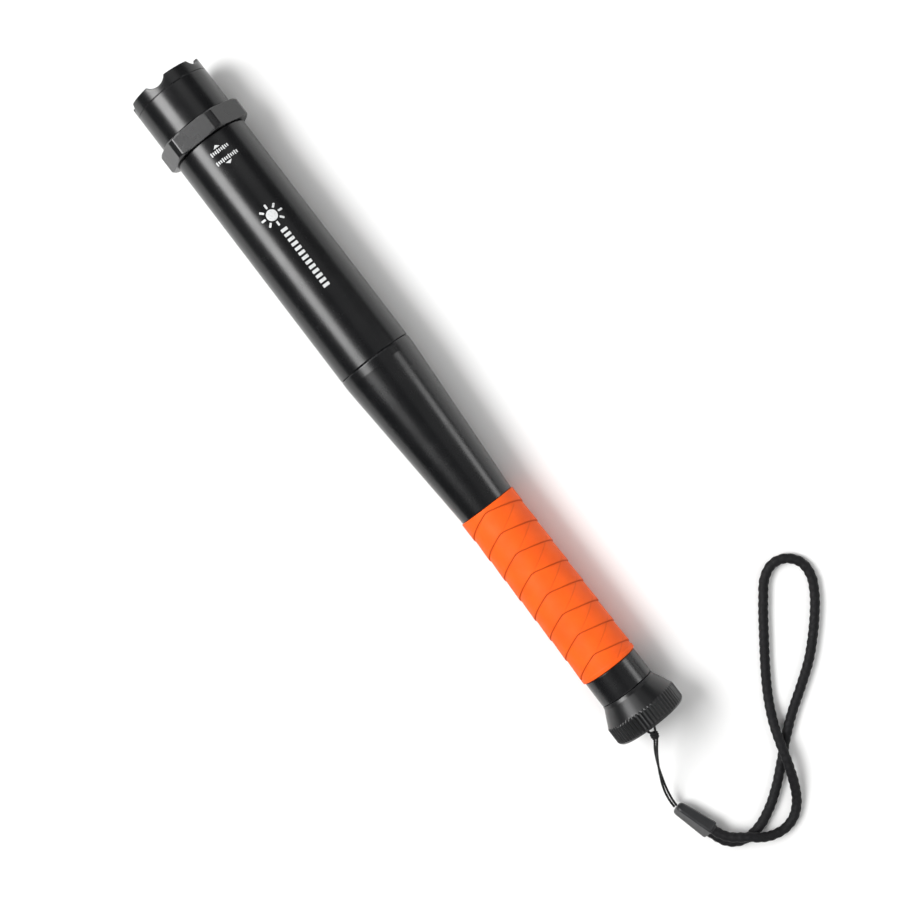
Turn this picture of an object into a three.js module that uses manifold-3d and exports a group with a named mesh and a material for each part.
// Bat-shaped LED hand light with a twist-zoom head, a screw-on tail cap and a wrist lanyard.
// Units are millimetres, +Z is up and +X is the way the beam goes. The light lies on a flat
// surface, on one flat of its hexagonal ring and on the rim of its tail cap.
//
// Most pieces are turned about the light's own axis. Their sections are written as
// [station, radius] pairs, where the station counts from the tail end towards the lens.

import * as THREE from 'three';
import * as BufferGeometryUtils from 'three/addons/utils/BufferGeometryUtils.js';
import Module from 'manifold-3d';

const wasm = await Module();
wasm.setup();

// ---------------------------------------------------------------- driving dimensions

const LENGTH = 365;
const SEAM = 207.8; // station where the barrel meets the handle tube
const TAPER_FRONT = 203; // station where the taper towards the grip starts
const GRIP_TOP = 123.6; // station of the grip's upper edge
const GRIP_BOTTOM = 31.9;
const CAP_FRONT = 18.8; // station where the tail cap meets the handle's neck
const HEX_REAR = 330.6;
const HEX_FRONT = 340.2;
const BEZEL_REAR = 359.4;

const BARREL_RADIUS = 18.5; // at the seam
const BARREL_FRONT_RADIUS = 18.3;
const HEAD_RADIUS = 18.75;
const HEX_ACROSS_FLATS = 39.4;
const HEX_CORNER_RADIUS = 21.9; // the bar that the ring's flats are milled on
const TAPER_END_RADIUS = 13.75;
const GRIP_RADIUS = 14.3;
const NECK_RADIUS = 13.6;
const CAP_RADIUS = 18.2;
const CAP_BAND_FRONT = 8.7; // station where the gripping band starts
const CAP_CHAMFER = 2.4;

const GAP = 0.3; // between pieces that touch
const HEAD_NECK_RADIUS = 15.6; // barrel neck that the head slides and turns on
const SPIGOT_RADIUS = 15.2; // handle tube's screw joint inside the barrel
const TUBE_BORE = 9.9; // handle tube's battery bore
const CELL_RADIUS = 7.2;
const CELL_LENGTH = 50.5;
const CELL_COUNT = 3;
const FIRST_CELL = 24.5; // station of the first cell's flat end

const NOTCH_COUNT = 5;
const NOTCH_RADIUS = 5.9;
const NOTCH_DEPTH = 2.8;

const CORD_DIAMETER = 4.6;
const STRING_DIAMETER = 1.1;
const HITCH_HOLE_RADIUS = 1.05;
const HITCH_HOLE_SPREAD = 1.9; // each hole's distance from the middle of the bridge
const HITCH_PITCH_RADIUS = 15.0; // distance of the bridge from the light's axis

const CONNECTOR = { length: 19, width: 9, thickness: 5.3, chamfer: 1 }; // section at mid-length
const CONNECTOR_TAPER = 0.17; // the string end is this much smaller, the cord end this much larger
const CONNECTOR_ROLL = THREE.MathUtils.degToRad(55);
const CONNECTOR_REAR = new THREE.Vector3(-223, 17.2, 4.8); // end that takes the strings
const CONNECTOR_HEADING = new THREE.Vector3(-20, -6.8, 0).normalize();

const ROUND = 32; // sides of an outer turned piece
const INNER_ROUND = 20; // sides of a hidden turned piece

// ---------------------------------------------------------------- materials

const finish = (color, roughness, metalness) =>
  () => new THREE.MeshStandardMaterial({ color, roughness, metalness });

const blackAnodised = finish(0x17181a, 0.42, 0.7);
const orangeRubber = finish(0xff6a1a, 0.7, 0);
const blackRubber = finish(0x1b1b1c, 0.85, 0);
const clearLens = finish(0xdfe6ea, 0.08, 0);
const whiteNylon = finish(0xe9e7df, 0.5, 0);
const greyPlastic = finish(0x55585a, 0.55, 0);
const blackPlastic = finish(0x202224, 0.45, 0);
const brass = finish(0xc6a553, 0.3, 0.9);
const springSteel = finish(0xb9bcc0, 0.28, 0.95);
const aluminium = finish(0xb4b8bb, 0.38, 0.9);
const circuitBoard = finish(0x1f5a3c, 0.5, 0);
const ledPackage = finish(0xf3e6a0, 0.4, 0);
const cellWrap = finish(0x3a4a58, 0.35, 0.1);
const blackCord = finish(0x141415, 0.8, 0);

// ---------------------------------------------------------------- geometry helpers

const baton = new THREE.Group(); // everything that is turned about the light's axis
const model = new THREE.Group();

function addPiece(parent, name, geometry, material) {
  const mesh = new THREE.Mesh(geometry, material());
  mesh.name = name;
  parent.add(mesh);
  return mesh;
}

/** Turns a section, [station, radius] pairs, about the X axis. A ring's section closes itself. */
function turned(section, sides = ROUND) {
  const points = section.map(([station, radius]) => new THREE.Vector2(radius, station));
  const onAxis = section[0][1] === 0;
  if (!onAxis) points.push(points[0].clone());
  return new THREE.LatheGeometry(points, sides).rotateZ(-Math.PI / 2);
}

/** Section of a plain ring between two stations and two radii. */
function ringSection(rear, front, inner, outer) {
  return [[rear, inner], [rear, outer], [front, outer], [front, inner]];
}

/** Section of a plain disc. */
function discSection(rear, front, radius) {
  return [[rear, 0], [rear, radius], [front, radius], [front, 0]];
}

/** Section of a round rubber ring. */
function oRingSection(station, radius, wire) {
  const points = [];
  const corners = 6;
  for (let i = 0; i < corners; i += 1) {
    const angle = (2 * Math.PI * i) / corners;
    points.push([station - wire * Math.cos(angle), radius + wire * Math.sin(angle)]);
  }
  return points;
}

/** Turns a three.js geometry into a solid that can be cut and joined. */
function toSolid(geometry) {
  const bare = geometry.clone();
  bare.deleteAttribute('normal');
  bare.deleteAttribute('uv');
  const merged = BufferGeometryUtils.mergeVertices(bare, 1e-4);
  const index = merged.index.array;
  const triangles = [];
  for (let i = 0; i < index.length; i += 3) {
    const [a, b, c] = [index[i], index[i + 1], index[i + 2]];
    if (a !== b && b !== c && c !== a) triangles.push(a, b, c);
  }
  return new wasm.Manifold(new wasm.Mesh({
    numProp: 3,
    vertProperties: new Float32Array(merged.attributes.position.array),
    triVerts: new Uint32Array(triangles),
  }));
}

/** Turns a solid back into a three.js geometry. */
function toGeometry(solid) {
  const mesh = solid.getMesh();
  const geometry = new THREE.BufferGeometry();
  geometry.setAttribute('position', new THREE.BufferAttribute(mesh.vertProperties, 3));
  geometry.setIndex(new THREE.BufferAttribute(mesh.triVerts, 1));
  geometry.computeVertexNormals();
  return geometry;
}

/** Cuts every tool in a list out of a geometry. */
function cut(geometry, tools) {
  return toGeometry(tools.reduce((solid, tool) => solid.subtract(toSolid(tool)), toSolid(geometry)));
}

/** A round tube of constant thickness along a list of [x, y, z] points. */
function tubeAlong(points, diameter, steps, sides) {
  const path = new THREE.CatmullRomCurve3(
    points.map((p) => (p.isVector3 ? p : new THREE.Vector3(...p))), false, 'centripetal');
  const section = new THREE.Shape();
  for (let i = 0; i < sides; i += 1) {
    const angle = (2 * Math.PI * i) / sides;
    const [x, y] = [diameter / 2 * Math.cos(angle), diameter / 2 * Math.sin(angle)];
    if (i === 0) section.moveTo(x, y);
    else section.lineTo(x, y);
  }
  section.closePath();
  return new THREE.ExtrudeGeometry(section, { steps, extrudePath: path, bevelEnabled: false });
}

/** A compression spring about the X axis. */
function spring(rear, front, coilRadius, wireDiameter, turns) {
  const pointsPerTurn = 8;
  const count = Math.round(turns * pointsPerTurn);
  const points = [];
  for (let i = 0; i <= count; i += 1) {
    const angle = (2 * Math.PI * i) / pointsPerTurn;
    const station = rear + wireDiameter / 2 + ((front - rear - wireDiameter) * i) / count;
    points.push([station, coilRadius * Math.cos(angle), coilRadius * Math.sin(angle)]);
  }
  return tubeAlong(points, wireDiameter, count, 6);
}

// ---------------------------------------------------------------- zoom head

function bezelRing() {
  const blank = turned([
    [354.8, 15.2], [354.8, 16.6], [BEZEL_REAR, 16.6], [BEZEL_REAR, HEAD_RADIUS],
    [LENGTH - 0.4, HEAD_RADIUS], [LENGTH, HEAD_RADIUS - 0.4], [LENGTH, 16.8], [361.8, 15.2],
  ]);
  const notches = [];
  for (let i = 0; i < NOTCH_COUNT; i += 1) {
    const notch = new THREE.CylinderGeometry(NOTCH_RADIUS, NOTCH_RADIUS, 12, ROUND);
    notch.translate(LENGTH + NOTCH_RADIUS - NOTCH_DEPTH, HEAD_RADIUS - 2, 0);
    notch.rotateX(Math.PI / 2 + (i * 2 * Math.PI) / NOTCH_COUNT);
    notches.push(notch);
  }
  return cut(blank, notches);
}

function headSleeve() {
  return turned([
    [333.4, 16], [333.4, 17.2], [HEX_FRONT + GAP, 17.2], [HEX_FRONT + GAP, HEAD_RADIUS],
    [BEZEL_REAR - GAP, HEAD_RADIUS], [BEZEL_REAR - GAP, 17], [349.6, 17], [349.6, 14.2],
    [348, 14.2], [348, 16],
  ]);
}

function focusLens() {
  return turned([
    [351.4, 0], [351.4, 16.6], [353.4, 16.6], [353.4, 14.8], [355.5, 13.8], [357.6, 11.5],
    [359.3, 7.8], [360.2, 3.8], [360.5, 0],
  ]);
}

function hexRing() {
  const corner = HEX_ACROSS_FLATS / Math.sqrt(3);
  const chamfer = 0.9;
  const edge = HEX_CORNER_RADIUS - chamfer;
  const prism = new THREE.CylinderGeometry(corner, corner, HEX_FRONT - HEX_REAR, 6);
  prism.rotateZ(-Math.PI / 2).rotateX(Math.PI / 2).translate((HEX_REAR + HEX_FRONT) / 2, 0, 0);
  const envelope = turned([
    [HEX_REAR, 16.1], [HEX_REAR, edge], [HEX_REAR + chamfer, HEX_CORNER_RADIUS],
    [HEX_FRONT - chamfer, HEX_CORNER_RADIUS], [HEX_FRONT, edge], [HEX_FRONT, 17.5],
    [331.4, 17.5], [331.4, 16.1],
  ], 60);
  return toGeometry(toSolid(prism).intersect(toSolid(envelope)));
}

function buildZoomHead() {
  addPiece(baton, 'bezel_ring', bezelRing(), blackAnodised);
  addPiece(baton, 'head_sleeve', headSleeve(), blackAnodised);
  addPiece(baton, 'hex_ring', hexRing(), blackAnodised);
  addPiece(baton, 'lens_gasket', turned(oRingSection(350.5, 15.7, 0.7), ROUND), blackRubber);
  addPiece(baton, 'focus_lens', focusLens(), clearLens);
  addPiece(baton, 'lens_washer', turned(ringSection(353.7, 354.5, 15.2, 16.7)), whiteNylon);
}

/** Nylon ring that the head carries along the barrel's neck; its keys stop it from turning. */
function glideRing() {
  const keyWidth = 2;
  const keyDepth = 1.4;
  const ring = toSolid(turned(ringSection(331.7, 333.1, 15.9, 17.2)));
  const keys = [1, -1].map((side) => {
    const key = new THREE.BoxGeometry(1.4, keyDepth, keyWidth);
    return toSolid(key.translate(332.4, side * (15 + keyDepth / 2), 0));
  });
  return toGeometry(keys.reduce((solid, key) => solid.add(key), ring));
}

// ---------------------------------------------------------------- barrel and light engine

function barrel() {
  const slotRear = HEX_REAR - GAP;
  const slotFront = 343.6;
  const tube = turned([
    [SEAM + GAP, 15.6], [SEAM + GAP, BARREL_RADIUS], [HEX_REAR - GAP, BARREL_FRONT_RADIUS],
    [HEX_REAR - GAP, HEAD_NECK_RADIUS], [344.4, HEAD_NECK_RADIUS], [344.4, 14.3], [346.2, 14.3],
    [346.2, HEAD_NECK_RADIUS], [347.6, HEAD_NECK_RADIUS], [347.6, 13.1], [320.7, 13.1],
    [320.7, 11.6], [316, 11.6], [316, 15.6],
  ]);
  const keyways = [1, -1].map((side) => {
    const slot = new THREE.BoxGeometry(slotFront - slotRear, 3, 2.7);
    return slot.translate((slotRear + slotFront) / 2, side * (14.6 + 1.5), 0);
  });
  return cut(tube, keyways);
}

function heatSink() {
  return turned([
    [330, 0], [330, 10.3], [321, 10.3], [321, 12.8], [341.2, 12.8], [341.2, 0],
  ]);
}

function ledEmitter() {
  const base = new THREE.BoxGeometry(0.9, 5, 5).translate(343.85, 0, 0);
  const dome = turned([[344, 0], [344, 2.2], [345.2, 1.9], [345.9, 1.1], [346.2, 0]], 16);
  return toGeometry(toSolid(base).add(toSolid(dome)));
}

function rodSpacer() {
  const flange = 15.1;
  const tube = 4.4;
  return turned([
    [219, 2.4], [219, flange], [221.5, flange], [221.5, tube], [305, tube], [305, flange],
    [307.5, flange], [307.5, 2.4],
  ], INNER_ROUND);
}

function contactRod() {
  const rear = FIRST_CELL + CELL_COUNT * (CELL_LENGTH + GAP) + GAP;
  return turned([
    [rear, 0], [rear, 4.5], [rear + 1.5, 4.5], [rear + 1.5, 2], [310.5, 2], [310.5, 4.5],
    [312, 4.5], [312, 0],
  ], INNER_ROUND);
}

function batteryCell(rear) {
  const nub = 2.7;
  const shoulder = rear + CELL_LENGTH - 1.2;
  return turned([
    [rear, 0], [rear, CELL_RADIUS], [shoulder, CELL_RADIUS], [shoulder, nub],
    [rear + CELL_LENGTH, nub], [rear + CELL_LENGTH, 0],
  ], 20);
}

function handleTube() {
  return turned([
    [9.6, TUBE_BORE], [9.6, 11.4], [CAP_FRONT + GAP, 11.4], [CAP_FRONT + GAP, NECK_RADIUS],
    [GRIP_BOTTOM, NECK_RADIUS], [GRIP_BOTTOM, 12], [GRIP_TOP, 12],
    [GRIP_TOP, TAPER_END_RADIUS], [TAPER_FRONT, BARREL_RADIUS], [SEAM, BARREL_RADIUS],
    [SEAM, SPIGOT_RADIUS], [210.8, SPIGOT_RADIUS], [210.8, 14], [212.6, 14],
    [212.6, SPIGOT_RADIUS], [218, SPIGOT_RADIUS], [218, 12.5], [181, 12.5], [181, TUBE_BORE],
  ]);
}

function buildBarrelAndHandle() {
  addPiece(baton, 'barrel', barrel(), blackAnodised);
  addPiece(baton, 'zoom_o_ring', turned(oRingSection(345.3, 15.05, 0.6), ROUND), blackRubber);
  addPiece(baton, 'heat_sink', heatSink(), aluminium);
  addPiece(baton, 'pill_lock_ring', turned(ringSection(341.5, 343.5, 9.8, 12.8)), aluminium);
  addPiece(baton, 'led_board', turned(discSection(341.5, 343.1, 9.3), INNER_ROUND), circuitBoard);
  addPiece(baton, 'led_emitter', ledEmitter(), ledPackage);
  const centring = turned(ringSection(343.4, 344.6, 4, 8.5), INNER_ROUND);
  addPiece(baton, 'led_centring_ring', centring, whiteNylon);
  addPiece(baton, 'driver_board', turned(discSection(322.6, 324.2, 9.8), INNER_ROUND), circuitBoard);
  addPiece(baton, 'driver_spring', spring(312.4, 322.2, 3.2, 0.9, 4), springSteel);
  addPiece(baton, 'contact_rod', contactRod(), brass);
  addPiece(baton, 'rod_spacer', rodSpacer(), greyPlastic);
  addPiece(baton, 'joint_o_ring', turned(oRingSection(211.7, 14.75, 0.6), ROUND), blackRubber);
  addPiece(baton, 'handle_tube', handleTube(), blackAnodised);
  const grip = turned(ringSection(GRIP_BOTTOM + GAP, GRIP_TOP - GAP, 12.3, GRIP_RADIUS));
  addPiece(baton, 'grip_sleeve', grip, orangeRubber);
  const sleeve = turned(ringSection(23, 179.5, 7.6, 9.5), INNER_ROUND);
  addPiece(baton, 'battery_sleeve', sleeve, greyPlastic);
  for (let i = 0; i < CELL_COUNT; i += 1) {
    const rear = FIRST_CELL + i * (CELL_LENGTH + GAP);
    addPiece(baton, `battery_cell_${i + 1}`, batteryCell(rear), cellWrap);
  }
}

// ---------------------------------------------------------------- tail cap and switch

function tailCap() {
  const shell = turned([
    [3, 8.6], [3, 13], [0, 13], [0, CAP_RADIUS - 1.3], [CAP_CHAMFER, CAP_RADIUS],
    [CAP_BAND_FRONT, CAP_RADIUS], [12.3, 16.4], [15.5, 14.8], [17.2, 13.9],
    [CAP_FRONT, NECK_RADIUS], [CAP_FRONT, 12.9], [16, 12.9], [16, 11.8], [9.3, 11.8],
    [9.3, 10.6], [5.2, 10.6], [5.2, 8.6],
  ]);
  const tools = [1, -1].map((side) => {
    const hole = new THREE.CylinderGeometry(HITCH_HOLE_RADIUS, HITCH_HOLE_RADIUS, 6, 16);
    hole.rotateZ(Math.PI / 2);
    return hole.translate(1.9, side * HITCH_HOLE_SPREAD, HITCH_PITCH_RADIUS);
  });
  const tunnel = new THREE.BoxGeometry(
    2, 2 * (HITCH_HOLE_SPREAD + HITCH_HOLE_RADIUS), 2 * HITCH_HOLE_RADIUS - 0.1);
  tools.push(tunnel.translate(3.89, 0, HITCH_PITCH_RADIUS));
  return cut(shell, tools);
}

function bootSkirt() {
  return turned([
    [3.3, 7.1], [3.3, 8.3], [5.5, 8.3], [5.5, 10.3], [6.9, 10.3], [6.9, 5], [5.4, 5], [5.4, 7.1],
  ], INNER_ROUND);
}

function bootDome() {
  return turned([
    [1.1, 0], [1.3, 3.4], [1.9, 5.6], [2.7, 6.7], [3.5, 6.7], [3.5, 0],
  ], INNER_ROUND);
}

function switchPlunger() {
  return turned([
    [3.8, 0], [3.8, 4.2], [4.6, 4.2], [4.6, 2.6], [10.6, 2.6], [10.6, 0],
  ], INNER_ROUND);
}

function switchModule() {
  return turned([
    [14, 0], [14, 3], [9.2, 3], [9.2, 9.3], [16.4, 9.3], [16.4, 0],
  ], INNER_ROUND);
}

function buildTailCap() {
  addPiece(baton, 'tail_cap', tailCap(), blackAnodised);
  addPiece(baton, 'cap_o_ring', turned(oRingSection(17.2, 12.15, 0.55), ROUND), blackRubber);
  addPiece(baton, 'boot_skirt', bootSkirt(), blackRubber);
  addPiece(baton, 'boot_dome', bootDome(), blackRubber);
  addPiece(baton, 'switch_plunger', switchPlunger(), whiteNylon);
  const lockRing = turned(ringSection(7.2, 8.9, 4.6, 10.2), INNER_ROUND);
  addPiece(baton, 'boot_lock_ring', lockRing, aluminium);
  addPiece(baton, 'switch_module', switchModule(), blackPlastic);
  addPiece(baton, 'switch_contact', turned(discSection(16.7, 17.4, 8.8), INNER_ROUND), brass);
  addPiece(baton, 'tail_spring', spring(17.7, 24.2, 3.4, 0.9, 3), springSteel);
}

// ---------------------------------------------------------------- wrist lanyard

/** The looped end of the string: in one hole, under the bridge, out of the other, to the knot. */
function lanyardHitch() {
  const height = HITCH_PITCH_RADIUS;
  const side = HITCH_HOLE_SPREAD;
  return tubeAlong([
    [-3.1, 0.7, height + 0.2], [-1.6, 1.2, height + 0.1], [0, side, height], [2.6, side, height],
    [3.85, 1.1, height], [3.85, -1.1, height], [2.6, -side, height], [0, -side, height],
    [-1.6, -1.2, height + 0.1], [-3.1, -0.7, height + 0.2],
  ], STRING_DIAMETER, 28, 6);
}

/** The connector widens from the end that takes the strings to the end that takes the cord. */
function connectorBlock() {
  const { length, width, thickness, chamfer } = CONNECTOR;
  const [w, t] = [width / 2, thickness / 2];
  const outline = [
    [w, t - chamfer], [w - chamfer, t], [chamfer - w, t], [-w, t - chamfer],
    [-w, chamfer - t], [chamfer - w, -t], [w - chamfer, -t], [w, chamfer - t],
  ];
  const bevel = 0.8;
  const section = new THREE.Shape(outline.map(([x, y]) => new THREE.Vector2(x, y)));
  const block = new THREE.ExtrudeGeometry(section, {
    depth: length - 2 * bevel, bevelThickness: bevel, bevelSize: bevel, bevelOffset: -bevel,
    bevelSegments: 1,
  });
  block.translate(0, 0, bevel);
  const points = block.attributes.position;
  for (let i = 0; i < points.count; i += 1) {
    const size = 1 + CONNECTOR_TAPER * (2 * points.getZ(i) / length - 1);
    points.setX(i, points.getX(i) * size);
    points.setY(i, points.getY(i) * size);
  }
  return block;
}

/** The connector's own directions: along the strap, across its width, and out of its broad face. */
function connectorFrame() {
  const along = CONNECTOR_HEADING;
  const level = new THREE.Vector3(-along.y, along.x, 0);
  const up = new THREE.Vector3(0, 0, 1);
  const across = level.clone().multiplyScalar(Math.cos(CONNECTOR_ROLL))
    .addScaledVector(up, Math.sin(CONNECTOR_ROLL));
  const face = new THREE.Vector3().crossVectors(along, across);
  return { along, across, face };
}

function wristCordPoints() {
  const { along, across } = connectorFrame();
  const exit = (side, distance) => CONNECTOR_REAR.clone()
    .addScaledVector(along, CONNECTOR.length + distance)
    .addScaledVector(across, side * 2.42);
  const rest = CORD_DIAMETER / 2 + 0.05; // height of a strand that lies on the surface
  return [
    exit(1, GAP), exit(1, 3), [-247.6, 6, 7.2], [-250.4, 2.5, 7.5], [-253.2, -1.6, 7.4],
    [-256.6, -5.6, 6.4], [-259.4, -10.6, 4.3], [-260.4, -16.8, 2.7], [-258.4, -23.2, rest],
    [-253.4, -28.6, 2.8], [-246.1, -32.7, 4.9], [-236.8, -36.3, 7.1], [-227, -39.2, 7.2],
    [-217.7, -42.2, 4.7], [-208.6, -46.4, 2.7], [-198.9, -52.1, rest], [-181.9, -63.7, rest],
    [-170.3, -72.1, rest], [-162.2, -79, rest], [-159.1, -85.4, rest], [-160.4, -91.8, rest],
    [-166, -96.5, rest], [-173.2, -96.6, rest], [-180.8, -93.1, rest], [-188.3, -87.6, rest],
    [-196.2, -80.6, rest], [-204.4, -72.1, rest], [-212.2, -61.6, rest], [-219, -51.9, rest],
    [-226.3, -43, rest], [-235, -33.6, rest], [-243, -24.6, rest], [-248.9, -16.2, rest],
    [-252.8, -8, rest], [-254, -0.6, rest], [-252.6, 5.2, rest], [-249.2, 9.1, 2.5],
    exit(-1, 3), exit(-1, GAP),
  ];
}

/** Middle of the pair of strings, from the knot at the tail rim down to the connector. */
function stringCentre() {
  const entry = CONNECTOR_REAR.clone().addScaledVector(CONNECTOR_HEADING, -2 * GAP);
  return new THREE.CatmullRomCurve3([
    [-186.6, 0.3, 33.7], [-188.6, 1.8, 32.2], [-192.4, 4.8, 28.2], [-197, 7.9, 22.6],
    [-201.5, 10.6, 17.6], [-205.8, 12.8, 13.3], [-210.2, 14.8, 9.9], [-214.6, 16.3, 7.3],
    [-218.9, 17.2, 5.5], entry.toArray(),
  ].map((point) => new THREE.Vector3(...point)), false, 'centripetal');
}

/** One string of the pair, which twists half a turn and opens a little before the connector. */
function stringPoints(side) {
  const centre = stringCentre();
  const count = 20;
  const points = [];
  for (let i = 0; i <= count; i += 1) {
    const t = i / count;
    const along = centre.getTangentAt(t);
    const level = new THREE.Vector3(-along.y, along.x, 0).normalize();
    const lift = new THREE.Vector3().crossVectors(along, level);
    const spread = 0.6 + 0.12 * Math.sin(Math.PI * Math.max(0, 2 * t - 1));
    points.push(centre.getPointAt(t)
      .addScaledVector(level, side * spread * Math.cos(Math.PI * t))
      .addScaledVector(lift, side * spread * Math.sin(Math.PI * t)));
  }
  return points;
}

function buildLanyard() {
  addPiece(baton, 'lanyard_hitch', lanyardHitch(), blackCord);
  const strings = { string_upper: 1, string_lower: -1 };
  for (const [name, side] of Object.entries(strings)) {
    addPiece(model, name, tubeAlong(stringPoints(side), STRING_DIAMETER, 24, 6), blackCord);
  }
  const connector = addPiece(model, 'connector', connectorBlock(), blackPlastic);
  const { along, across, face } = connectorFrame();
  connector.quaternion.setFromRotationMatrix(
    new THREE.Matrix4().makeBasis(across, face, along));
  connector.position.copy(CONNECTOR_REAR);
  addPiece(model, 'wrist_cord', tubeAlong(wristCordPoints(), CORD_DIAMETER, 76, 8), blackCord);
}

// ---------------------------------------------------------------- assembly

buildZoomHead();
addPiece(baton, 'zoom_glide_ring', glideRing(), whiteNylon);
buildBarrelAndHandle();
buildTailCap();
buildLanyard();

// The rim is a little smaller than the hexagonal ring, so the axis slopes down to the tail.
const slope = Math.asin((HEX_ACROSS_FLATS / 2 - CAP_RADIUS) / (HEX_REAR - CAP_CHAMFER));
const tailAxisHeight = CAP_RADIUS * Math.cos(slope) - CAP_CHAMFER * Math.sin(slope);
baton.rotation.y = -slope;
baton.position.set(-LENGTH / 2, 0, tailAxisHeight);
model.add(baton);

export default model;
